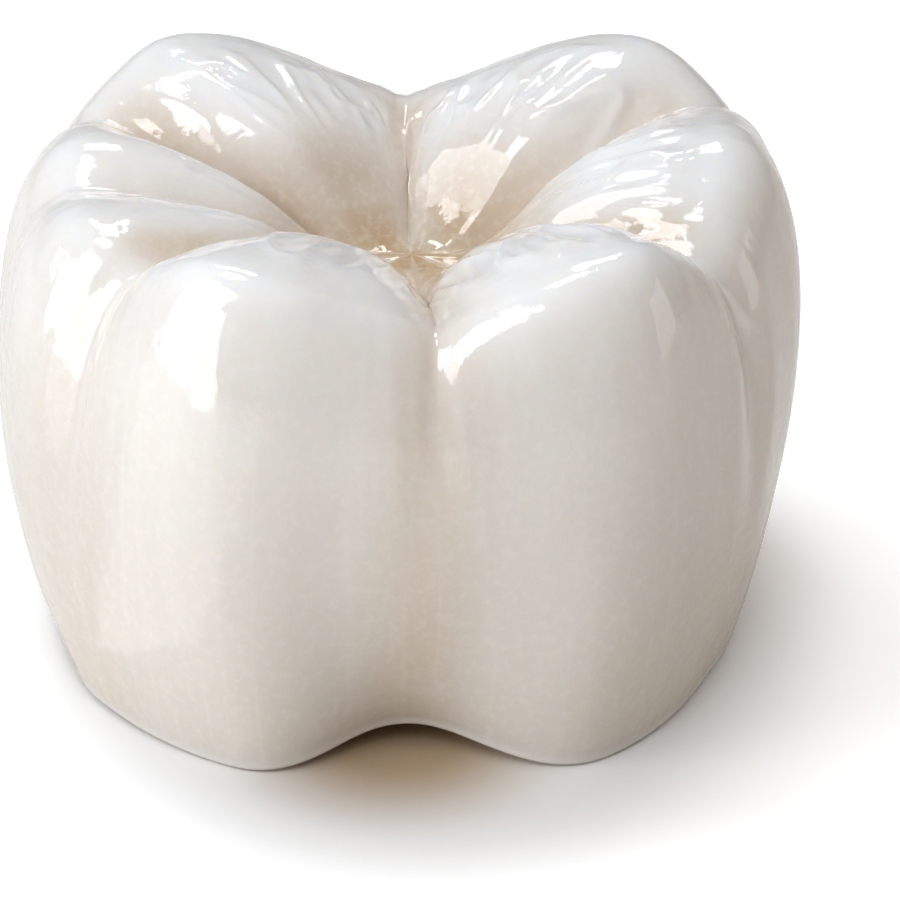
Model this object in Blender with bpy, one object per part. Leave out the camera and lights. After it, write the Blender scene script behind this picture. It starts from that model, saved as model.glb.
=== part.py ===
"""A ceramic cap for a molar tooth, hollow underneath, built as one closed solid in metres with +Z up.

The outside is drawn with stations, which are lines that run from the rim up the wall, over the crest
and down to the middle of the chewing surface. The inside is a tapered room with a flat ceiling that
seats on the ground-down stump of the tooth.
"""

from collections import namedtuple
from math import pi, radians, tan

import bpy
import numpy as np

MM = 0.001

# All sizes are in millimetres and all angles in degrees, turning from +X towards +Y as seen from above.
# These are the main sizes: the heights of the cusps, how far the rim, the belly and the crest of each
# side are from the middle, and how far the rim rises off the ground at the arches and at the sides.
BACK_CUSP_HEIGHT = 7.35
FRONT_CUSP_HEIGHT = 7.10
LEFT_CUSP_HEIGHT = 6.90
RIGHT_CUSP_HEIGHT = 7.15
CORNER_RIM = 5.10
SIDE_RIM = 4.90
ARCH_RIM = 3.95
ARCH_RISE = 0.33
SIDE_RISE = 0.11
LEFT_BELLY = 5.90
RIGHT_BELLY = 5.70
FRONT_BELLY = 6.00
BACK_BELLY = 5.75
FRONT_CREST = 4.35
BACK_CREST = 4.55
SIDE_CREST = 4.35

# A station is a line up the outside, at the middle of a lobe or at a groove between two lobes, and each
# size is eased from one station to the next. A groove also has a crease, which runs from 0, a round
# valley, to 1, a sharp one, and a carve, which is the depth of the narrow valley that is cut along it.
# The rim turn is how far a station has turned by the time it reaches the rim.
Station = namedtuple(
    "Station",
    "crease carve angle rim_turn rim_radius rim_height belly_radius shoulder_radius "
    "crest_radius crest_height slope_radius slope_height",
)
STATIONS = (
    Station(0.60, 0.10, -83, -6, ARCH_RIM, ARCH_RISE, 5.45, 5.10, 3.75, 6.20, 1.6, 5.20),
    Station(None, None, -47, -12, CORNER_RIM, 0, FRONT_BELLY, 5.65, FRONT_CREST, FRONT_CUSP_HEIGHT, 1.2, 6.05),
    Station(0.50, 0.20, -24, 0, 4.70, SIDE_RISE, 5.40, 5.65, 4.20, 6.30, 1.6, 5.35),
    Station(None, None, 5, 0, 4.65, SIDE_RISE, RIGHT_BELLY, 5.92, SIDE_CREST, RIGHT_CUSP_HEIGHT, 1.3, 6.10),
    Station(0.40, 0.08, 27, 0, 4.80, SIDE_RISE, RIGHT_BELLY, 6.20, 4.60, 6.90, 1.5, 5.25),
    Station(None, None, 44, 0, CORNER_RIM, 0, BACK_BELLY, 6.05, BACK_CREST, BACK_CUSP_HEIGHT, 1.2, 6.60),
    Station(0.00, 0.12, 90, 0, ARCH_RIM, ARCH_RISE, 4.80, 4.80, 3.30, 6.50, 1.4, 4.90),
    Station(None, None, 135, 0, CORNER_RIM, 0, BACK_BELLY, 6.00, BACK_CREST, BACK_CUSP_HEIGHT, 1.2, 6.70),
    Station(0.40, 0.12, 156, 0, SIDE_RIM, SIDE_RISE, 5.80, 6.15, 4.65, 6.75, 1.5, 5.05),
    Station(None, None, 169, 0, SIDE_RIM, SIDE_RISE, LEFT_BELLY, 6.10, SIDE_CREST, LEFT_CUSP_HEIGHT, 1.4, 5.85),
    Station(0.40, 0.05, 182, 0, SIDE_RIM, SIDE_RISE, LEFT_BELLY, 5.95, 4.30, 6.60, 1.5, 5.60),
    Station(None, None, 197, 0, SIDE_RIM, SIDE_RISE, LEFT_BELLY, 5.85, SIDE_CREST, 6.70, 1.4, 6.00),
    Station(0.50, 0.20, 213, 0, 5.02, 0.05, 5.70, 5.60, 4.10, 6.40, 1.6, 5.25),
    Station(None, None, 237, 6, CORNER_RIM, 0, FRONT_BELLY, 5.55, FRONT_CREST, FRONT_CUSP_HEIGHT, 1.2, 6.20),
)
BELLY_SHARE = 0.36
CREST_REACH = 1.2
WALL_CREASE_POWER = 5
TOP_CREASE = 0.9
TOP_FULLNESS = 3.0
FLATNESS = 0.35
FLATS_START = (0, 0.3)

# The middle of the chewing surface, between which rises the lobes' ends drop to its flat floor, and how
# far the slopes round it are pushed out sideways.
FOSSA = (0.10, 0.50, 5.30)
FLOOR_STARTS = (1.55, 1.92)
FOSSA_SPREAD = 0.15
SPREAD_PEAK = 4 / 27

# How wide the carved valleys are, in degrees, on the wall and in the middle of the chewing surface, and
# between which rises they start on the wall, start on the top and end there.
WALL_CARVE_WIDTH = 4.0
TOP_CARVE_WIDTH = 14.0
CARVE_STARTS_ON_WALL = (0.15, 0.8)
CARVE_STARTS_ON_TOP = (0.7, 1.1)
CARVE_ENDS = (1.7, 2)

# The rim, and the room underneath for the prepared tooth.
RIM_WIDTH = 0.90
RIM_ROUND = 0.12
CEILING_HEIGHT = 4.20
CEILING_ROUND = 0.50
ROOM_TAPER = 6.0

CERAMIC_COLOUR = (0.80, 0.76, 0.70, 1)

# The mesh: the degrees between its columns, how they crowd towards the grooves, and its rows.
COLUMN_STEP = 3.0
CROWDING = 1.3
WALL_ROWS = 16
TOP_ROWS = 16
ROOM_ROWS = 6
ROUND_ROWS = 3


def mix(low, high, share):
    return low + (high - low) * share


def smooth(value, low, high):
    """Runs from 0 at low to 1 at high with soft ends, and stays there."""
    share = np.clip((value - low) / (high - low), 0, 1)
    return share * share * (3 - 2 * share)


def ease(share, leaves_groove, crease, fullness):
    """Runs from 0 to 1, flat at a lobe's middle, and steeper at a groove the sharper its crease."""
    creased = 1 - (1 - share) ** fullness if leaves_groove else share**fullness
    return mix(smooth(share, 0, 1), creased, crease)


def station_pairs():
    """Each station with the next one round the cap."""
    ring = STATIONS + (STATIONS[0]._replace(angle=STATIONS[0].angle + 360),)
    return zip(ring, ring[1:])


def sizes_at(angle, rise):
    """Every size of a station at each angle, for points that are this far up the outside."""
    names = Station._fields[3:]
    sizes = {name: getattr(STATIONS[0], name) + 0 * angle for name in names}
    wall = np.clip(rise, 0, 1)
    top = np.clip((rise - 1) * 2, 0, 1)
    fullness = mix(2, TOP_FULLNESS, top)
    for here, there in station_pairs():
        leaves_groove = here.crease is not None
        crease = here.crease if leaves_groove else there.crease
        share = np.clip((angle - here.angle) / (there.angle - here.angle), 0, 1)
        sharpness = mix(crease * wall**WALL_CREASE_POWER, TOP_CREASE, top)
        eased = ease(share, leaves_groove, sharpness, fullness)
        for name in names:
            sizes[name] = sizes[name] + (getattr(there, name) - getattr(here, name)) * eased
    return Station(None, None, angle, **sizes)


def flats(angle):
    """The share of the radius that flattens the faces between the stations, which an arc would bulge out."""
    loss = 0
    for here, there in station_pairs():
        share = np.clip((angle - here.angle) / (there.angle - here.angle), 0, 1)
        loss = loss + 2 * radians(there.angle - here.angle) ** 2 * (share * (1 - share)) ** 2
    return FLATNESS * loss


def carving(angle, top):
    """How deep the narrow valleys along the grooves are cut at each angle."""
    width = np.radians(mix(WALL_CARVE_WIDTH, TOP_CARVE_WIDTH, top))
    depth = 0
    for station in STATIONS:
        if station.carve:
            beside = np.cos(np.radians(angle - station.angle))
            depth = depth + station.carve * np.exp((beside - 1) * 2 / width**2)
    return depth


def bend(start, first, second, end, share):
    """A cubic Bezier curve through one coordinate."""
    rest = 1 - share
    ends = rest**3 * start + share**3 * end
    return ends + 3 * rest * share * (rest * first + share * second)


def turned(radius, angle, height):
    """Points in space from a radius, an angle and a height."""
    turn = np.radians(angle)
    return np.stack(np.broadcast_arrays(radius * np.cos(turn), radius * np.sin(turn), height), axis=-1)


def outside_points(angle, rise):
    """The outside, from the rim at a rise of 0 over the crest at 1 to the chewing surface's middle at 2."""
    at = sizes_at(angle, rise)
    wall, top = np.clip(rise, 0, 1), np.clip(rise - 1, 0, 1)
    foot = at.rim_height + RIM_ROUND
    belly_height = mix(foot, at.crest_height, BELLY_SHARE)
    wall_radius = bend(at.rim_radius, at.belly_radius, at.shoulder_radius, at.crest_radius, wall)
    wall_height = bend(foot, belly_height, at.crest_height, at.crest_height, wall)
    top_radius = bend(at.crest_radius, at.crest_radius - CREST_REACH, at.slope_radius, 0, top)
    top_height = bend(at.crest_height, at.crest_height, at.slope_height, FOSSA[2], top)
    top_height = mix(top_height, FOSSA[2], smooth(rise, *FLOOR_STARTS))
    flat = flats(angle) * (1 - wall**WALL_CREASE_POWER) * smooth(rise, *FLATS_START)
    wall_radius = wall_radius * (1 - flat)
    carve = carving(angle, top)
    carve_in = carve * smooth(rise, *CARVE_STARTS_ON_WALL) * (1 - top)
    carve_down = carve * smooth(rise, *CARVE_STARTS_ON_TOP) * (1 - smooth(rise, *CARVE_ENDS))
    radius = np.where(rise > 1, top_radius, wall_radius) - carve_in
    height = np.where(rise > 1, top_height, wall_height) - carve_down
    points = turned(radius, angle + at.rim_turn * (1 - wall), height)
    spread = FOSSA_SPREAD * top**2 * (1 - top) / SPREAD_PEAK
    points[..., 0] += spread * np.cos(np.radians(angle)) + FOSSA[0] * top**1.5
    points[..., 1] += FOSSA[1] * top**1.5
    return points


def inside_profile(at):
    """The rim's underside and the room's wall and ceiling, as radii and heights for each column."""
    quarter = np.linspace(0, pi / 2, ROUND_ROWS + 1)[:, None]
    inner = at.rim_radius - RIM_WIDTH
    foot = at.rim_height + RIM_ROUND
    edge = inner - (CEILING_HEIGHT - foot) * tan(radians(ROOM_TAPER))
    outer_round = (
        at.rim_radius - RIM_ROUND + RIM_ROUND * np.cos(quarter[1:]),
        at.rim_height + RIM_ROUND - RIM_ROUND * np.sin(quarter[1:]),
    )
    inner_round = (
        inner + RIM_ROUND - RIM_ROUND * np.sin(quarter),
        at.rim_height + RIM_ROUND - RIM_ROUND * np.cos(quarter),
    )
    up = np.linspace(0, 1, ROOM_ROWS + 1)[1:, None]
    wall = (mix(inner, edge, up), mix(foot, CEILING_HEIGHT - CEILING_ROUND, up))
    ceiling_round = (
        edge - CEILING_ROUND + CEILING_ROUND * np.cos(quarter[1:]),
        CEILING_HEIGHT - CEILING_ROUND + CEILING_ROUND * np.sin(quarter[1:]),
    )
    parts = (outer_round, inner_round, wall, ceiling_round)
    radius = np.concatenate([part[0] + 0 * inner for part in parts])
    height = np.concatenate([part[1] + 0 * inner for part in parts])
    return radius, height


def column_angles():
    """The angles of the mesh's columns, with one on each station and more of them near the grooves."""
    columns = []
    for here, there in station_pairs():
        count = round((there.angle - here.angle) / COLUMN_STEP)
        share = np.arange(count) / count
        crowded = 1 - (1 - share) ** CROWDING if here.crease is None else share**CROWDING
        columns.extend(mix(here.angle, there.angle, crowded))
    return np.array(columns)


def outline_rings():
    """The rings of points from the edge of the ceiling out to the rim and over to the top's middle."""
    angle = column_angles()
    at = sizes_at(angle, 0 * angle)
    radius, height = inside_profile(at)
    inside = turned(radius, angle + at.rim_turn, height)[::-1]
    rows = np.linspace(0, 1, WALL_ROWS + 1)[:-1], np.linspace(1, 2, TOP_ROWS + 1)[:-1]
    rise = np.concatenate(rows)[:, None]
    return np.concatenate([inside, outside_points(angle + 0 * rise, rise + 0 * angle)])


def closed_mesh(name, rings, last_end):
    """One closed skin of quads between the rings, with a flat face in the first and a point after the last."""
    count, columns = rings.shape[:2]
    points = [*rings.reshape(-1, 3).tolist(), list(last_end)]
    faces = [tuple(reversed(range(columns)))]
    for ring in range(count - 1):
        for column in range(columns):
            beside = (column + 1) % columns
            low, high = ring * columns, (ring + 1) * columns
            faces.append((low + column, low + beside, high + beside, high + column))
    last = (count - 1) * columns
    for column in range(columns):
        beside = (column + 1) % columns
        faces.append((last + column, last + beside, len(points) - 1))
    mesh = bpy.data.meshes.new(name)
    mesh.from_pydata(points, [], faces)
    mesh.update()
    return mesh


def glazed_ceramic():
    material = bpy.data.materials.new("glazed ceramic")
    material.use_nodes = True
    shader = material.node_tree.nodes["Principled BSDF"]
    shader.inputs["Base Color"].default_value = CERAMIC_COLOUR
    shader.inputs["Roughness"].default_value = 0.12
    shader.inputs["Metallic"].default_value = 0
    return material


def build():
    for thing in list(bpy.data.objects):
        bpy.data.objects.remove(thing, do_unlink=True)
    rings = outline_rings()
    low, high = rings.reshape(-1, 3).min(axis=0), rings.reshape(-1, 3).max(axis=0)
    origin = np.array([(low[0] + high[0]) / 2, (low[1] + high[1]) / 2, low[2]])
    mesh = closed_mesh("molar_cap", (rings - origin) * MM, (FOSSA - origin) * MM)
    for face in mesh.polygons:
        face.use_smooth = True
    mesh.materials.append(glazed_ceramic())
    cap = bpy.data.objects.new("molar_cap", mesh)
    bpy.context.scene.collection.objects.link(cap)
    print("size in mm", (high - low).round(4), "middle", origin.round(4), "triangles", 2 * rings[..., 0].size)


build()
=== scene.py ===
"""The looks of a ceramic cap for a molar tooth: its fine shape, its glaze, and a studio of softboxes."""

from collections import namedtuple
from math import cos, pi, radians, sin, tan

import bpy
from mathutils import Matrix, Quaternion, Vector


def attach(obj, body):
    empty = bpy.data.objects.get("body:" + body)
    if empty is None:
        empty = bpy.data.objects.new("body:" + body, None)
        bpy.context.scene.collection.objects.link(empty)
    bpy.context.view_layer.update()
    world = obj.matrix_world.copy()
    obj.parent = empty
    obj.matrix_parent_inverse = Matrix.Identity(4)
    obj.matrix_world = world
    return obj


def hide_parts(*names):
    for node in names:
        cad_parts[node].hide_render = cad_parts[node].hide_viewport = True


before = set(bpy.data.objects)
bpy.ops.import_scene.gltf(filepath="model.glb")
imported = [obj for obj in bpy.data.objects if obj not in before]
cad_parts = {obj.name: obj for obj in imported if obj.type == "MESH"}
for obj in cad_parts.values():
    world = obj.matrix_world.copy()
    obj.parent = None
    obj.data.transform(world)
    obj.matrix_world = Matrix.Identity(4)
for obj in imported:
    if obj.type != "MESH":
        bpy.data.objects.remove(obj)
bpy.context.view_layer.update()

MM = 0.001

# All sizes are in millimetres and all angles in degrees, turning from +X towards +Y as seen from above.
# These are the main sizes: the heights of the cusps, how far the rim, the belly and the crest of each
# side are from the middle, and how far the rim rises off the ground at the arches and at the sides.
BACK_CUSP_HEIGHT = 7.35
FRONT_CUSP_HEIGHT = 7.10
LEFT_CUSP_HEIGHT = 6.90
RIGHT_CUSP_HEIGHT = 7.15
CORNER_RIM = 5.10
SIDE_RIM = 4.90
ARCH_RIM = 3.95
ARCH_RISE = 0.33
SIDE_RISE = 0.11
LEFT_BELLY = 5.90
RIGHT_BELLY = 5.70
FRONT_BELLY = 6.00
BACK_BELLY = 5.75
FRONT_CREST = 4.35
BACK_CREST = 4.55
SIDE_CREST = 4.35

# A station is a line up the outside, at the middle of a lobe or at a groove between two lobes, and each
# size is eased from one station to the next. A groove also has a crease, which runs from 0, a round
# valley, to 1, a sharp one, and a carve, which is the depth of the narrow valley that is cut along it.
# The rim turn is how far a station has turned by the time it reaches the rim.
Station = namedtuple(
    "Station",
    "crease carve angle rim_turn rim_radius rim_height belly_radius shoulder_radius "
    "crest_radius crest_height slope_radius slope_height",
)
STATIONS = (
    Station(0.60, 0.10, -83, -6, ARCH_RIM, ARCH_RISE, 5.45, 5.10, 3.75, 6.20, 1.6, 5.20),
    Station(None, None, -47, -12, CORNER_RIM, 0, FRONT_BELLY, 5.65, FRONT_CREST, FRONT_CUSP_HEIGHT, 1.2, 6.05),
    Station(0.50, 0.20, -24, 0, 4.70, SIDE_RISE, 5.40, 5.65, 4.20, 6.30, 1.6, 5.35),
    Station(None, None, 5, 0, 4.65, SIDE_RISE, RIGHT_BELLY, 5.92, SIDE_CREST, RIGHT_CUSP_HEIGHT, 1.3, 6.10),
    Station(0.40, 0.08, 27, 0, 4.80, SIDE_RISE, RIGHT_BELLY, 6.20, 4.60, 6.90, 1.5, 5.25),
    Station(None, None, 44, 0, CORNER_RIM, 0, BACK_BELLY, 6.05, BACK_CREST, BACK_CUSP_HEIGHT, 1.2, 6.60),
    Station(0.00, 0.12, 90, 0, ARCH_RIM, ARCH_RISE, 4.80, 4.80, 3.30, 6.50, 1.4, 4.90),
    Station(None, None, 135, 0, CORNER_RIM, 0, BACK_BELLY, 6.00, BACK_CREST, BACK_CUSP_HEIGHT, 1.2, 6.70),
    Station(0.40, 0.12, 156, 0, SIDE_RIM, SIDE_RISE, 5.80, 6.15, 4.65, 6.75, 1.5, 5.05),
    Station(None, None, 169, 0, SIDE_RIM, SIDE_RISE, LEFT_BELLY, 6.10, SIDE_CREST, LEFT_CUSP_HEIGHT, 1.4, 5.85),
    Station(0.40, 0.05, 182, 0, SIDE_RIM, SIDE_RISE, LEFT_BELLY, 5.95, 4.30, 6.60, 1.5, 5.60),
    Station(None, None, 197, 0, SIDE_RIM, SIDE_RISE, LEFT_BELLY, 5.85, SIDE_CREST, 6.70, 1.4, 6.00),
    Station(0.50, 0.20, 213, 0, 5.02, 0.05, 5.70, 5.60, 4.10, 6.40, 1.6, 5.25),
    Station(None, None, 237, 6, CORNER_RIM, 0, FRONT_BELLY, 5.55, FRONT_CREST, FRONT_CUSP_HEIGHT, 1.2, 6.20),
)
BELLY_SHARE = 0.36
CREST_REACH = 1.2
WALL_CREASE_POWER = 5
TOP_CREASE = 0.9
TOP_FULLNESS = 3.0
FLATNESS = 0.35
FLATS_START = (0, 0.3)

# The middle of the chewing surface, between which rises the lobes' ends drop to its flat floor, and how
# far the slopes round it are pushed out sideways.
FOSSA = (0.10, 0.50, 5.30)
FLOOR_STARTS = (1.55, 1.92)
FOSSA_SPREAD = 0.15
SPREAD_PEAK = 4 / 27

# How wide the carved valleys are, in degrees, on the wall and in the middle of the chewing surface, and
# between which rises they start on the wall, start on the top and end there.
WALL_CARVE_WIDTH = 4.0
TOP_CARVE_WIDTH = 14.0
CARVE_STARTS_ON_WALL = (0.15, 0.8)
CARVE_STARTS_ON_TOP = (0.7, 1.1)
CARVE_ENDS = (1.7, 2)

# The rim, and the room underneath for the prepared tooth.
RIM_WIDTH = 0.90
RIM_ROUND = 0.12
CEILING_HEIGHT = 4.20
CEILING_ROUND = 0.50
ROOM_TAPER = 6.0

# The middle of the form's own box, which the CAD source moves to the origin.
MIDDLE = (-0.0686, -0.2523)

# The grid that the fine skin is made from, in columns round the cap and rows up it.
COLUMNS = 480
ROWS = 200
ROOM_ROWS_SHARE = 0.2

# The fine relief: the heights of the folds in the chewing surface, of the wrinkles beside the grooves and
# of the faint ripples on the walls, the radius of the ring that the noise for them is read on, and each
# one's pattern, as the noise's scale, its stretch up the skin, its detail and its place.
FOLD_HEIGHT = 0.08
WRINKLE_HEIGHT = 0.03
RIPPLE_HEIGHT = 0.05
NOISE_RING = 5.0
FOLD_PATTERN = (1.2, 2.2, 1, 3.0)
WRINKLE_PATTERN = (3.2, 0.35, 1, 7.0)
RIPPLE_PATTERN = (1.6, 0.5, 2, 11.0)

# The width in degrees and the depth of the hollows along the grooves, which carry wrinkles and painted warm
# shade, and how much of that painted shade they take on the walls, on the front wall and on the top.
HOLLOW_WIDTH = 8.0
HOLLOW_DEPTH = 0.11
GROOVE_SHADE_ON_WALL = 0.2
GROOVE_SHADE_ON_FRONT = 0.6
GROOVE_SHADE_ON_TOP = 0.8

# The ceramic's colours. The body is paler towards the tips of the lobes, and darker and warmer at the neck,
# partly as the ceramic's own neck shade and partly as painted shade low on the walls. Patches of cloud, grains
# and upright veins lie over it, and the grains and the veins are pale. The fossa's warm tone is partly its own
# and partly painted shade, the grooves and the room have painted shade, and the rim's pale line is a painted
# highlight.
BODY_COLOUR = (0.865, 0.85, 0.832)
TIP_COLOUR = (0.90, 0.90, 0.90)
NECK_TONE_AND_SHADE_COLOUR = (0.775, 0.74, 0.70)
FOSSA_TONE_AND_SHADE_COLOUR = (0.55, 0.39, 0.23)
GROOVE_SHADE_COLOUR = (0.72, 0.60, 0.47)
CLOUD_COLOUR = (0.80, 0.76, 0.72)
ROOM_SHADE_COLOUR = (0.50, 0.35, 0.22)
PALE_AND_RIM_HIGHLIGHT_COLOUR = (0.94, 0.92, 0.89)
CLOUD_SIZE = 1.1
CLOUD_SHARE = 0.45
GRAIN_SIZE = 0.13
GRAIN_SHARE = 0.2
VEIN_SCALE = 0.9
VEIN_STRETCH = 0.5
VEIN_SHARPNESS = 24
VEIN_SHARE = 0.15

# The glaze is nearly a mirror, over a skin of very fine pebbles. Light goes a little way into the ceramic.
GLAZE_ROUGHNESS = (0.03, 0.06)
GLAZE_IOR = 1.52
PEBBLE_SIZE = 0.3
PEBBLE_SHARE = 2
PEBBLE_HEIGHT = 0.01
PEBBLE_STRENGTH = 0.4
SCATTER_SHARE = 0.4
SCATTER_BY_COLOUR = (1.0, 0.75, 0.5)
SCATTER_DEPTH = 1.2

# The lamps' places and sizes are in millimetres, and a brightness of 1 is white. The softboxes light the
# cap, and the glints are seen only as mirrored by its glaze.
Lamp = namedtuple("Lamp", "name place size brightness colour roll", defaults=((1, 1, 1), 0))
LAMP_AIM_HEIGHT = 4
SOFTBOXES = (
    Lamp("left window", (-92, -34, 30), (46, 95), 1.6, (0.83, 0.91, 1)),
    Lamp("left back box", (-90, 40, 40), (50, 60), 0.6),
    Lamp("front box", (-20, -21, 18), (32, 29), 1.15),
    Lamp("front top box", (0, -60, 85), (60, 60), 2.5, (0.85, 0.92, 1)),
    Lamp("top box", (-32, 30, 86), (44, 38), 6.5, (0.80, 0.91, 1)),
    Lamp("right top box", (70, 10, 80), (50, 50), 1.3, (1, 0.96, 0.92)),
    Lamp("back strip", (40, 90, 50), (20, 60), 1.7),
)
GLINTS = (
    Lamp("left glint", (-88, -38, 32), (112, 108), 5, roll=15),
    Lamp("upper glint", (-50, -27, 82), (54, 34), 8),
    Lamp("top glint", (-19, 25, 92), (24, 20), 10),
    Lamp("back glint", (-6, 62, 77), (26, 20), 10),
    Lamp("right glint", (100, 0, 14), (60, 70), 1.5),
)

# The studio's dim warm light, of which the glaze mirrors half. The camera sees it as plain white.
STUDIO_LIGHT = (1, 0.83, 0.69)
STUDIO_LEVEL = 0.22
MIRRORED_STUDIO_LEVEL = 0.11

# The floor is white to the camera and darker and warmer in the light that it throws back on the cap. Near
# the cap it is a little darker, and further out it glows. Both change between two distances from the
# middle, for which the way along Y counts less than the way along X.
SEEN_FLOOR = 0.95
MIRRORED_FLOOR = 0.45
FLOOR_BOUNCE = (0.70, 0.65, 0.58)
FLOOR_REACH = 600
FLOOR_ROUGHNESS = 0.6
ALONG_Y_WEIGHT = 0.56
SHADE = 0.12
SHADE_REACH = (4.2, 6.5)
GLOW = 0.34
GLOW_REACH = (4.2, 6.8)
FAINT_GLOW = 0.04

# How much red, green and blue the floor loses in the warm shade under the front arch, how far in front of
# the middle that is, and between which distances from there the loss fades.
FLOOR_TINT = (0.44, 0.58, 0.73)
ARCH_PLACE = 3.6
TINT_REACH = (0.6, 2.7)

# A painted reflection: a patch of floor beside the left wall that glows only in the rays that the glaze
# mirrors.
MIRRORED_GLOW_LEVEL = 0.8
MIRRORED_GLOW_RIGHT_EDGE = (-5.6, -5.2)
MIRRORED_GLOW_BACK_EDGE = (-2.4, -2.0)

# The camera looks along +Y from a little above, at the photograph's angle.
CAMERA_RISE = radians(26.5)
CAMERA_DISTANCE = 90.0
PIXELS_PER_MM = 72.4
PICTURE_WIDTH = 900
AIM = (0.635 - MIDDLE[0], -0.425 - MIDDLE[1], 2.747)


class Number:
    """A socket that carries a number, so that a node tree's formulas read as plain arithmetic."""

    def __init__(self, maker, socket):
        self.maker = maker
        self.socket = socket

    def __add__(self, other):
        return self.maker.maths("ADD", self, other)

    __radd__ = __add__

    def __sub__(self, other):
        return self.maker.maths("SUBTRACT", self, other)

    def __rsub__(self, other):
        return self.maker.maths("SUBTRACT", other, self)

    def __mul__(self, other):
        return self.maker.maths("MULTIPLY", self, other)

    __rmul__ = __mul__

    def __truediv__(self, other):
        return self.maker.maths("DIVIDE", self, other)

    def __rtruediv__(self, other):
        return self.maker.maths("DIVIDE", other, self)

    def __pow__(self, other):
        return self.maker.maths("POWER", self, other)

    def __gt__(self, other):
        return self.maker.maths("GREATER_THAN", self, other)

    def between(self, low, high):
        """Runs from 0 at low to 1 at high, and stays there."""
        return self.maker.maths("DIVIDE", self - low, high - low, clamp=True)

    def smooth(self, low, high):
        """As between, but with soft ends."""
        share = self.between(low, high)
        return share * share * (3 - 2 * share)


class Maker:
    """Adds nodes to a node tree, with their settings first and then their inputs."""

    def __init__(self, tree):
        self.tree = tree

    def node(self, kind, settings=None, inputs=None):
        node = self.tree.nodes.new(kind)
        for name, value in (settings or {}).items():
            setattr(node, name, value)
        for name, value in (inputs or {}).items():
            self.feed(node.inputs[name], value)
        return node

    def feed(self, slot, value):
        """Gives an input its value, as a link or as a constant."""
        value = value.socket if isinstance(value, Number) else value
        if isinstance(value, bpy.types.NodeSocket):
            self.tree.links.new(value, slot)
        else:
            slot.default_value = value

    def number(self, *node):
        return Number(self, self.node(*node).outputs[0])

    def maths(self, operation, *values, clamp=False):
        settings = {"operation": operation, "use_clamp": clamp}
        return self.number("ShaderNodeMath", settings, dict(enumerate(values)))

    def vector(self, *numbers):
        return self.node("ShaderNodeCombineXYZ", None, dict(enumerate(numbers))).outputs[0]

    def parts(self, vector):
        node = self.node("ShaderNodeSeparateXYZ", None, {0: vector})
        return [Number(self, socket) for socket in node.outputs]

    def vector_maths(self, operation, *values):
        node = self.node("ShaderNodeVectorMath", {"operation": operation}, dict(enumerate(values)))
        return node.outputs[0]


def mix(low, high, share):
    return low + (high - low) * share


def ease(share, leaves_groove, crease, fullness):
    """Runs from 0 to 1, flat at a lobe's middle, and steeper at a groove the sharper its crease."""
    smooth = share * share * (3 - 2 * share)
    creased = 1 - (1 - share) ** fullness if leaves_groove else share**fullness
    return mix(smooth, creased, crease)


def station_pairs():
    """Each station with the next one round the cap."""
    ring = STATIONS + (STATIONS[0]._replace(angle=STATIONS[0].angle + 360),)
    return zip(ring, ring[1:])


def flats(angle):
    """The share of the radius that flattens the faces between the stations, which an arc would bulge out."""
    loss = 0
    for here, there in station_pairs():
        share = angle.between(here.angle, there.angle)
        bump = share * (1 - share)
        loss = loss + 2 * radians(there.angle - here.angle) ** 2 * bump * bump
    return FLATNESS * loss


def sizes_at(angle, wall_crease, top):
    """Every size of a station at each angle, as formulas."""
    names = Station._fields[3:]
    sizes = {name: getattr(STATIONS[0], name) for name in names}
    for here, there in station_pairs():
        leaves_groove = here.crease is not None
        crease = here.crease if leaves_groove else there.crease
        share = angle.between(here.angle, there.angle)
        crease = mix(crease * wall_crease, TOP_CREASE, top)
        eased = ease(share, leaves_groove, crease, mix(2, TOP_FULLNESS, top))
        for name in names:
            step = getattr(there, name) - getattr(here, name)
            if step:
                sizes[name] = sizes[name] + step * eased
    return Station(None, None, angle, **sizes)


def bend(start, first, second, end, share):
    """A cubic Bezier curve through one coordinate."""
    rest = 1 - share
    ends = rest * rest * rest * start + share * share * share * end
    return ends + 3 * rest * share * (rest * first + share * second)


def carving(maker, angle, width):
    """How deep the valleys along the grooves are at each angle, for a width in degrees."""
    width = width * (pi / 180)
    sharpness = 2 / (width * width)
    depth = 0
    for station in STATIONS:
        if station.carve:
            beside = maker.maths("COSINE", (angle - station.angle) * (pi / 180))
            depth = depth + station.carve * maker.maths("EXPONENT", (beside - 1) * sharpness)
    return depth


def outside(at, rise, wall, top):
    """The outside's radius and height. The rise is 0 at the rim, 1 at the crest and 2 at the top's middle."""
    foot = at.rim_height + RIM_ROUND
    belly_height = mix(foot, at.crest_height, BELLY_SHARE)
    wall_radius = bend(at.rim_radius, at.belly_radius, at.shoulder_radius, at.crest_radius, wall)
    wall_height = bend(foot, belly_height, at.crest_height, at.crest_height, wall)
    top_radius = bend(at.crest_radius, at.crest_radius - CREST_REACH, at.slope_radius, 0, top)
    top_height = bend(at.crest_height, at.crest_height, at.slope_height, FOSSA[2], top)
    top_height = mix(top_height, FOSSA[2], rise.smooth(*FLOOR_STARTS))
    on_top = rise > 1
    return mix(wall_radius, top_radius, on_top), mix(wall_height, top_height, on_top)


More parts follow.
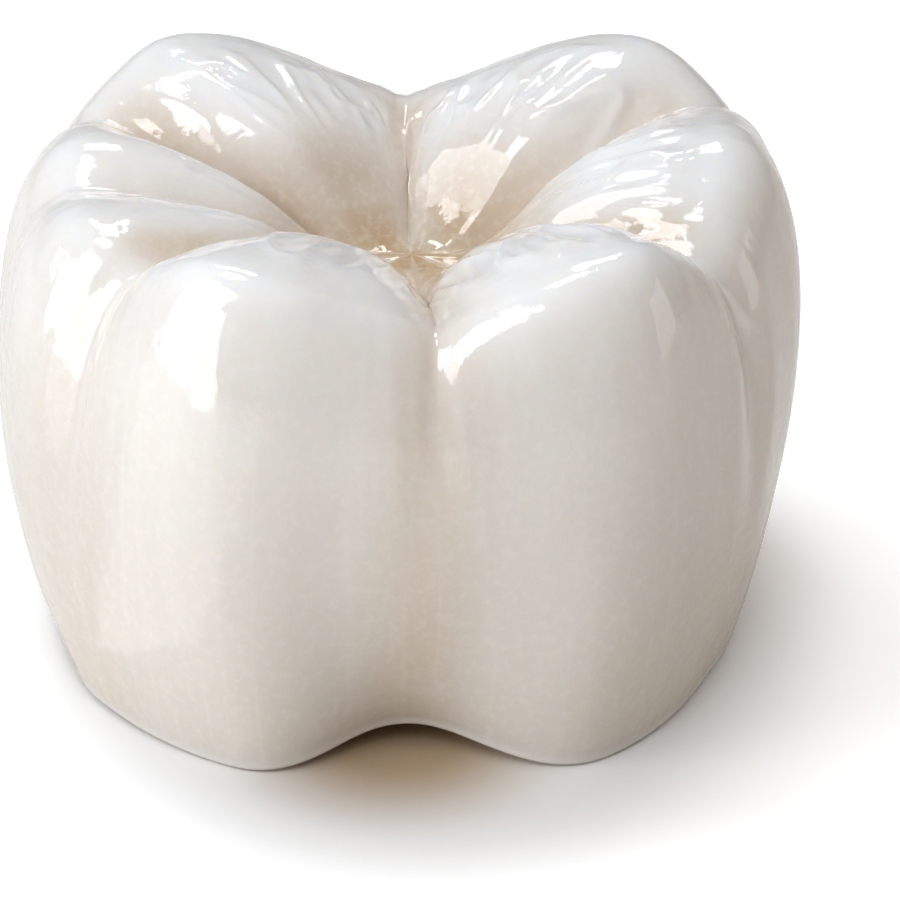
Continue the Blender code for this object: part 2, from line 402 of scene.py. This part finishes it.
def inside(maker, at, depth):
    """The radius and height of the rim's underside and the room, whose ceiling's middle is at a depth of 1."""
    stops = (0, 0.12, 0.25, 0.37, 0.72, 0.86, 1)
    outer, flat, inner, wall, upper, ceiling = (depth.between(*pair) for pair in zip(stops, stops[1:]))
    outer, inner, upper = (share * (pi / 2) for share in (outer, inner, upper))

    def sine(turn):
        return maker.maths("SINE", turn)

    def cosine(turn):
        return maker.maths("COSINE", turn)

    foot = at.rim_height + RIM_ROUND
    taper = (CEILING_HEIGHT - foot) * tan(radians(ROOM_TAPER))
    edge = at.rim_radius - RIM_WIDTH - taper
    radius = at.rim_radius - RIM_ROUND * (1 - cosine(outer)) - (RIM_WIDTH - 2 * RIM_ROUND) * flat
    radius = radius - RIM_ROUND * sine(inner) - taper * wall - CEILING_ROUND * (1 - cosine(upper))
    radius = radius - (edge - CEILING_ROUND) * ceiling
    height = foot - RIM_ROUND * sine(outer) + RIM_ROUND * (1 - cosine(inner))
    height = height + (CEILING_HEIGHT - CEILING_ROUND - foot) * wall + CEILING_ROUND * sine(upper)
    return radius, height


def kept_value(maker, name, kind="FLOAT"):
    """A value that was stored on the skin."""
    return maker.node("GeometryNodeInputNamedAttribute", {"data_type": kind}, {"Name": name}).outputs[0]


def relief(maker):
    """The height in millimetres of the folds, wrinkles and ripples on the skin."""
    rise = Number(maker, kept_value(maker, "rise"))
    hollow = Number(maker, kept_value(maker, "hollow"))
    ring = kept_value(maker, "ring", "FLOAT_VECTOR")

    def noise(pattern):
        scale, stretch, detail, place = pattern
        squeezed = maker.vector_maths("MULTIPLY", ring, (1, 1, stretch))
        moved = maker.vector_maths("ADD", squeezed, (0, 0, place))
        return maker.number("ShaderNodeTexNoise", None, {"Vector": moved, "Scale": scale, "Detail": detail})

    def ridges(pattern):
        return 1 - 2 * maker.maths("ABSOLUTE", noise(pattern) - 0.5)

    to_the_right = maker.parts(ring)[0].between(-NOISE_RING, NOISE_RING)
    on_slopes = rise.smooth(1.05, 1.25) * (1 - rise.smooth(1.4, 1.65))
    folds = ridges(FOLD_PATTERN) ** 4 * mix(0.5, 1.5, to_the_right) * on_slopes
    beside_grooves = hollow * rise.smooth(0.35, 0.6) * (1 - rise.smooth(1.5, 1.9))
    wrinkles = ridges(WRINKLE_PATTERN) ** 3 * beside_grooves
    ripples = (noise(RIPPLE_PATTERN) - 0.5) * rise.smooth(0.1, 0.5) * (1 - rise.smooth(0.9, 1.1))
    return FOLD_HEIGHT * folds + WRINKLE_HEIGHT * wrinkles + RIPPLE_HEIGHT * ripples


def form_tree():
    """The tree that makes the cap's fine skin from a flat grid."""
    tree = bpy.data.node_groups.new("molar cap form", "GeometryNodeTree")
    face = tree.interface
    face.new_socket("Columns", in_out="INPUT", socket_type="NodeSocketInt")
    face.new_socket("Rows", in_out="INPUT", socket_type="NodeSocketInt")
    face.new_socket("Relief", in_out="INPUT", socket_type="NodeSocketFloat")
    face.new_socket("Glaze", in_out="INPUT", socket_type="NodeSocketMaterial")
    face.new_socket("Geometry", in_out="OUTPUT", socket_type="NodeSocketGeometry")
    maker = Maker(tree)
    given = maker.node("NodeGroupInput").outputs
    grid = maker.node(
        "GeometryNodeMeshGrid", None,
        {"Size X": 1, "Size Y": 1, "Vertices X": given["Columns"], "Vertices Y": given["Rows"]},
    )
    across, along, _ = maker.parts(maker.node("GeometryNodeInputPosition").outputs[0])
    angle = STATIONS[0].angle + 360 * (across + 0.5)
    row = along + 0.5
    rise = (row - ROOM_ROWS_SHARE) * (2 / (1 - ROOM_ROWS_SHARE))
    wall, top = rise.between(0, 1), rise.between(1, 2)
    at = sizes_at(angle, wall**WALL_CREASE_POWER, rise.between(1, 1.5))

    radius, height = outside(at, rise, wall, top)
    radius = radius * (1 - flats(angle) * (1 - wall**WALL_CREASE_POWER) * rise.smooth(*FLATS_START))
    carve = carving(maker, angle, mix(WALL_CARVE_WIDTH, TOP_CARVE_WIDTH, top))
    radius = radius - carve * rise.smooth(*CARVE_STARTS_ON_WALL) * (1 - top)
    height = height - carve * rise.smooth(*CARVE_STARTS_ON_TOP) * (1 - rise.smooth(*CARVE_ENDS))
    room_radius, room_height = inside(maker, at, 1 - row.between(0, ROOM_ROWS_SHARE))
    radius = mix(room_radius, radius, rise > 0)
    height = mix(room_height, height, rise > 0)

    turn = (angle + at.rim_turn * (1 - wall)) * (pi / 180)
    cosine, sine = maker.maths("COSINE", turn), maker.maths("SINE", turn)
    to_middle = top**1.5
    spread = FOSSA_SPREAD * top * top * (1 - top) / SPREAD_PEAK
    place = maker.vector(
        ((radius + spread) * cosine + FOSSA[0] * to_middle - MIDDLE[0]) * MM,
        (radius * sine + FOSSA[1] * to_middle - MIDDLE[1]) * MM,
        height * MM,
    )
    hollow = carving(maker, angle, HOLLOW_WIDTH).between(0, HOLLOW_DEPTH)
    stored = (
        ("rise", "FLOAT", rise),
        ("hollow", "FLOAT", hollow),
        ("ring", "FLOAT_VECTOR", maker.vector(NOISE_RING * cosine, NOISE_RING * sine, rise)),
    )
    skin = grid.outputs["Mesh"]
    for name, kind, value in stored:
        settings = {"data_type": kind, "domain": "POINT"}
        inputs = {"Geometry": skin, "Name": name, "Value": value}
        skin = maker.node("GeometryNodeStoreNamedAttribute", settings, inputs).outputs[0]

    skin = maker.node("GeometryNodeSetPosition", None, {"Geometry": skin, "Position": place}).outputs[0]
    skin = maker.node("GeometryNodeMergeByDistance", None, {"Geometry": skin, "Distance": 1e-7}).outputs[0]
    normal = maker.node("GeometryNodeInputNormal").outputs[0]
    lift = relief(maker) * Number(maker, given["Relief"]) * MM
    offset = maker.node("ShaderNodeVectorMath", {"operation": "SCALE"}, {0: normal, "Scale": lift}).outputs[0]
    skin = maker.node("GeometryNodeSetPosition", None, {"Geometry": skin, "Offset": offset}).outputs[0]
    skin = maker.node("GeometryNodeSetShadeSmooth", None, {"Geometry": skin, "Shade Smooth": True}).outputs[0]
    skin = maker.node("GeometryNodeRealizeInstances", None, {"Geometry": skin}).outputs[0]
    inputs = {"Geometry": skin, "Material": given["Glaze"]}
    skin = maker.node("GeometryNodeSetMaterial", None, inputs).outputs[0]
    maker.node("NodeGroupOutput", None, {0: skin})
    return tree


def made_mesh(name, tree, values):
    """An object with a plain mesh, made by the tree from its named inputs."""
    seed = bpy.data.objects.new(name + "_seed", bpy.data.meshes.new(name + "_seed"))
    bpy.context.scene.collection.objects.link(seed)
    modifier = seed.modifiers.new("form", "NODES")
    modifier.node_group = tree
    for item in tree.interface.items_tree:
        if item.in_out == "INPUT":
            modifier[item.identifier] = values[item.name]
    graph = bpy.context.evaluated_depsgraph_get()
    mesh = bpy.data.meshes.new_from_object(seed.evaluated_get(graph), depsgraph=graph)
    bpy.data.objects.remove(seed, do_unlink=True)
    made = bpy.data.objects.new(name, mesh)
    bpy.context.scene.collection.objects.link(made)
    return made


def glaze():
    """Off-white glass ceramic under a clear glaze, warmer in the fossa and near the rim, partly in its own
    colour and partly as painted shade, with painted shade in the grooves and the room and a painted highlight
    along the rim.
    """
    material = bpy.data.materials.new("glazed ceramic")
    material.use_nodes = True
    maker = Maker(material.node_tree)
    shader = material.node_tree.nodes["Principled BSDF"]

    def stored(name, output="Fac"):
        node = maker.node("ShaderNodeAttribute", {"attribute_type": "GEOMETRY", "attribute_name": name})
        return Number(maker, node.outputs[output])

    def over(colour, paint, share):
        """A paint laid over a colour."""
        inputs = {"Factor": share, "A": colour, "B": (*paint, 1)}
        return maker.node("ShaderNodeMix", {"data_type": "RGBA"}, inputs).outputs["Result"]

    def noise(size, detail, roughness=0.5):
        """Noise in the object's own space, with a size in millimetres."""
        place = maker.node("ShaderNodeTexCoord").outputs["Object"]
        inputs = {"Vector": place, "Scale": 1 / (size * MM), "Detail": detail, "Roughness": roughness}
        return maker.number("ShaderNodeTexNoise", None, inputs)

    rise, hollow = stored("rise"), stored("hollow")
    on_top = rise.smooth(0.9, 1.15)
    ring = stored("ring", "Vector")
    on_front = 1 - maker.parts(ring)[1].between(-NOISE_RING, -0.7 * NOISE_RING)
    # the rise is 0 at the rim, 1 at the crest, 2 in the middle of the fossa and negative in the room
    # darker and warmer towards the neck: partly the ceramic's own neck shade, partly painted shade low on the
    # walls
    colour = over((*NECK_TONE_AND_SHADE_COLOUR, 1), BODY_COLOUR, rise.smooth(0, 0.9))
    colour = over(colour, TIP_COLOUR, rise.smooth(0.8, 0.95))
    # the fossa's warmer tone, partly its own colour and partly painted shade of the recess
    colour = over(colour, FOSSA_TONE_AND_SHADE_COLOUR, rise.smooth(1.4, 1.9))
    # painted warm shade along the grooves
    groove_shade_share = mix(mix(GROOVE_SHADE_ON_WALL, GROOVE_SHADE_ON_FRONT, on_front), GROOVE_SHADE_ON_TOP, on_top)
    colour = over(colour, GROOVE_SHADE_COLOUR, hollow * groove_shade_share)
    clouds = noise(CLOUD_SIZE, 2)
    colour = over(colour, CLOUD_COLOUR, clouds.smooth(0.45, 0.75) * CLOUD_SHARE)
    grain = noise(GRAIN_SIZE, 2, 0.6)
    colour = over(colour, PALE_AND_RIM_HIGHLIGHT_COLOUR, grain.smooth(0.45, 0.7) * GRAIN_SHARE)
    upright = maker.vector_maths("MULTIPLY", ring, (1, 1, VEIN_STRETCH))
    streaks = maker.number("ShaderNodeTexNoise", None, {"Vector": upright, "Scale": VEIN_SCALE, "Detail": 3})
    veins = (1 - 2 * maker.maths("ABSOLUTE", streaks - 0.5)) ** VEIN_SHARPNESS
    colour = over(colour, PALE_AND_RIM_HIGHLIGHT_COLOUR, veins * (1 - on_top) * VEIN_SHARE)
    # painted shade inside the room
    colour = over(colour, ROOM_SHADE_COLOUR, 1 - rise.smooth(-0.25, -0.1))
    # a pale line along the rim's edge, a painted highlight
    colour = over(colour, PALE_AND_RIM_HIGHLIGHT_COLOUR, rise.smooth(-0.1, -0.06) * (1 - rise.smooth(-0.02, 0.02)))
    maker.feed(shader.inputs["Base Color"], colour)
    maker.feed(shader.inputs["Roughness"], mix(*GLAZE_ROUGHNESS, clouds))
    pebbles = grain + PEBBLE_SHARE * noise(PEBBLE_SIZE, 1)
    bump = maker.node(
        "ShaderNodeBump", None,
        {"Strength": PEBBLE_STRENGTH, "Distance": PEBBLE_HEIGHT * MM, "Height": pebbles},
    )
    maker.feed(shader.inputs["Normal"], bump.outputs[0])
    shader.inputs["IOR"].default_value = GLAZE_IOR
    shader.inputs["Subsurface Weight"].default_value = SCATTER_SHARE
    shader.inputs["Subsurface Radius"].default_value = SCATTER_BY_COLOUR
    shader.inputs["Subsurface Scale"].default_value = SCATTER_DEPTH * MM
    return material


def add_camera():
    camera = bpy.data.cameras.new("camera")
    camera.lens = camera.sensor_width * PIXELS_PER_MM * CAMERA_DISTANCE / PICTURE_WIDTH
    camera.clip_start = 0.001
    camera.clip_end = 10
    holder = bpy.data.objects.new("camera", camera)
    away = Vector((0, -cos(CAMERA_RISE), sin(CAMERA_RISE))) * CAMERA_DISTANCE
    holder.location = (Vector(AIM) + away) * MM
    holder.rotation_euler = (pi / 2 - CAMERA_RISE, 0, 0)
    bpy.context.scene.collection.objects.link(holder)
    bpy.context.scene.camera = holder


def add_lamp(lamp):
    """A rectangular lamp that faces the cap."""
    light = bpy.data.lights.new(lamp.name, "AREA")
    light.shape = "RECTANGLE"
    light.size = lamp.size[0] * MM
    light.size_y = lamp.size[1] * MM
    light.energy = lamp.brightness * pi * light.size * light.size_y
    light.color = lamp.colour
    holder = bpy.data.objects.new(lamp.name, light)
    holder.location = Vector(lamp.place) * MM
    facing = (Vector((0, 0, LAMP_AIM_HEIGHT)) - Vector(lamp.place)).to_track_quat("-Z", "Y")
    holder.rotation_euler = (facing @ Quaternion((0, 0, 1), radians(lamp.roll))).to_euler()
    holder.visible_camera = False
    bpy.context.scene.collection.objects.link(holder)
    return holder


def add_light():
    world = bpy.data.worlds.new("studio")
    bpy.context.scene.world = world
    world.use_nodes = True
    world.node_tree.nodes.clear()
    maker = Maker(world.node_tree)
    path = maker.node("ShaderNodeLightPath").outputs
    seen, mirrored = Number(maker, path["Is Camera Ray"]), Number(maker, path["Is Glossy Ray"])
    colour = maker.vector(*(mix(channel, 1, seen) for channel in STUDIO_LIGHT))
    level = mix(STUDIO_LEVEL - (STUDIO_LEVEL - MIRRORED_STUDIO_LEVEL) * mirrored, 1, seen)
    background = maker.node("ShaderNodeBackground", None, {"Color": colour, "Strength": level})
    maker.node("ShaderNodeOutputWorld", None, {"Surface": background.outputs[0]})
    for lamp in SOFTBOXES:
        add_lamp(lamp).visible_glossy = False
    for lamp in GLINTS:
        add_lamp(lamp).visible_diffuse = False


def floor_paint():
    """White as the camera sees it, and paler grey in the light that it throws back on the cap."""
    material = bpy.data.materials.new("white floor")
    material.use_nodes = True
    maker = Maker(material.node_tree)
    shader = material.node_tree.nodes["Principled BSDF"]
    path = maker.node("ShaderNodeLightPath").outputs
    mirrored = Number(maker, path["Is Glossy Ray"])
    seen = (Number(maker, path["Is Camera Ray"]) + MIRRORED_FLOOR * mirrored).between(0, 1)
    x, y, _ = maker.parts(maker.node("ShaderNodeTexCoord").outputs["Object"])
    x, y = x / MM, y / MM
    away = maker.maths("SQRT", x * x + ALONG_Y_WEIGHT * y * y)
    from_arch = maker.maths("SQRT", x * x + (y + ARCH_PLACE) ** 2)
    tint = 1 - from_arch.smooth(*TINT_REACH)
    seen_level = SEEN_FLOOR * (1 - SHADE * (1 - away.smooth(*SHADE_REACH)))
    bounce = zip(FLOOR_BOUNCE, FLOOR_TINT)
    channels = (mix(thrown, seen_level, seen) * (1 - loss * tint) for thrown, loss in bounce)
    maker.feed(shader.inputs["Base Color"], maker.vector(*channels))
    shader.inputs["Emission Color"].default_value = (1, 1, 1, 1)
    glow = FAINT_GLOW * (1 - tint) + GLOW * away.smooth(*GLOW_REACH)
    # painted reflection: a patch of floor that glows only in the glaze's mirror rays
    mirrored_glow = (1 - x.smooth(*MIRRORED_GLOW_RIGHT_EDGE)) * (1 - y.smooth(*MIRRORED_GLOW_BACK_EDGE))
    maker.feed(shader.inputs["Emission Strength"], glow * seen + MIRRORED_GLOW_LEVEL * mirrored_glow * mirrored)
    shader.inputs["Roughness"].default_value = FLOOR_ROUGHNESS
    return material


def add_floor():
    reach = FLOOR_REACH * MM
    corners = [(-reach, -reach, 0), (reach, -reach, 0), (reach, reach, 0), (-reach, reach, 0)]
    floor_mesh = bpy.data.meshes.new("floor")
    floor_mesh.from_pydata(corners, [], [(0, 1, 2, 3)])
    floor = bpy.data.objects.new("floor", floor_mesh)
    bpy.context.scene.collection.objects.link(floor)
    floor.data.materials.append(floor_paint())


def build_scene():
    bpy.context.scene.view_settings.view_transform = "Standard"
    add_camera()
    add_light()
    add_floor()
    values = {"Columns": COLUMNS + 1, "Rows": ROWS + 1, "Relief": 1.0, "Glaze": glaze()}
    cap = made_mesh("cap", form_tree(), values)
    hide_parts("molar_cap")
    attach(cap, "root")


build_scene()
